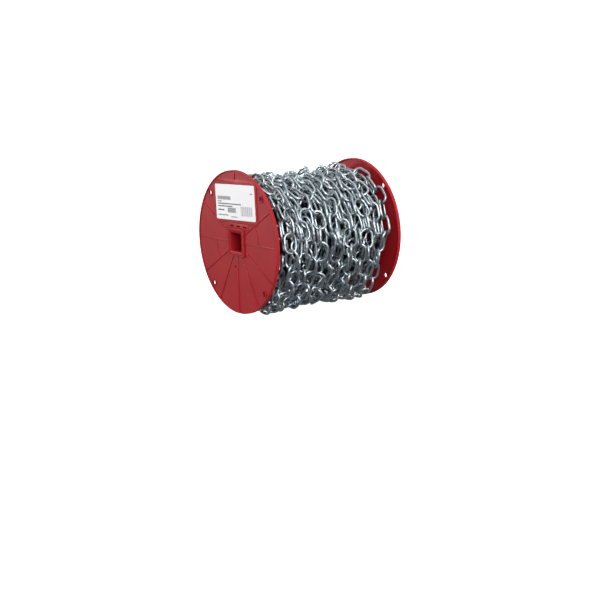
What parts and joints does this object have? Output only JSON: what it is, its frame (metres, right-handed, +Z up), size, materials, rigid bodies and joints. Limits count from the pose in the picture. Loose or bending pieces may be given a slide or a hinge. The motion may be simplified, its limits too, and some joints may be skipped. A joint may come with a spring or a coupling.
{
  "type": "reel of steel chain",
  "caption": "Moulded plastic reel with a square arbor hole, ribbed flanges and a blank label, wound full of zinc-plated welded steel chain.",
  "frame": {"origin": "on the floor, under the middle of the reel", "axes": "+X along the reel's axis, away from the labelled flange; +Z up"},
  "size_m": [0.2292, 0.2138, 0.2137],
  "materials": {
    "reel_plastic": "injection-moulded red plastic, semi-gloss",
    "label_paper": "white self-adhesive paper",
    "zinc_steel": "bright zinc-plated drawn wire"
  },
  "bodies": {
    "root": {"near_flange": "reel_plastic", "far_flange": "reel_plastic", "barrel": "reel_plastic", "label": "label_paper", "chain_inner_layers": "zinc_steel", "chain_turn_01": "zinc_steel", "chain_turn_02": "zinc_steel", "chain_turn_03": "zinc_steel", "chain_turn_04": "zinc_steel", "chain_turn_05": "zinc_steel", "chain_turn_06": "zinc_steel", "chain_turn_07": "zinc_steel", "chain_turn_08": "zinc_steel", "chain_turn_09": "zinc_steel", "chain_turn_10": "zinc_steel", "chain_turn_11": "zinc_steel", "chain_turn_12": "zinc_steel"}
  },
  "joints": []
}
